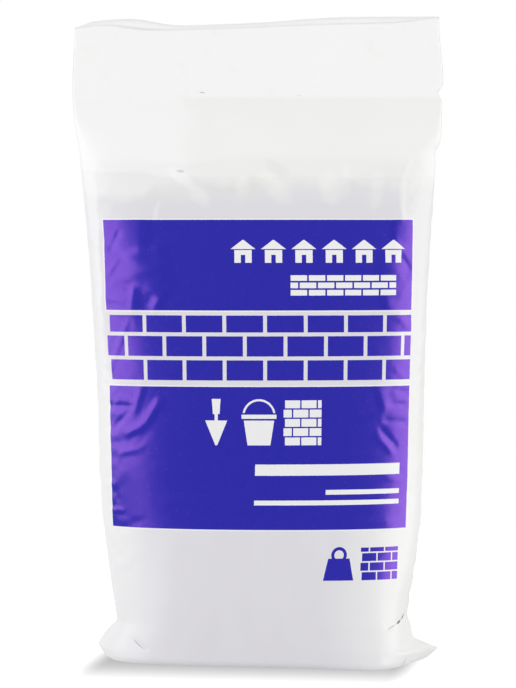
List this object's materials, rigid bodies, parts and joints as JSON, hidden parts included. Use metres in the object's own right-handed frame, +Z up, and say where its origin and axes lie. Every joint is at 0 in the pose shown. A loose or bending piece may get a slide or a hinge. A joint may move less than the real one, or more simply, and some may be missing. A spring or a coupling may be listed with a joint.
{
  "type": "cement sack",
  "caption": "Small plastic-film sack of cement powder standing on its filled base, with a welded top, an open flap above the weld and an ear at each bottom corner.",
  "frame": {"origin": "on the floor, under the middle of the sack's overall box", "axes": "+Z up from the base to the mouth, -Y out of the printed front, +X to the right of someone facing the front"},
  "size_m": [0.236, 0.0978, 0.407],
  "materials": {
    "film": "white polyethylene film with a satin sheen, printed in blue",
    "cement": "fine dry grey powder"
  },
  "bodies": {
    "root": {"film_sack": "film", "cement_fill": "cement"}
  },
  "joints": []
}
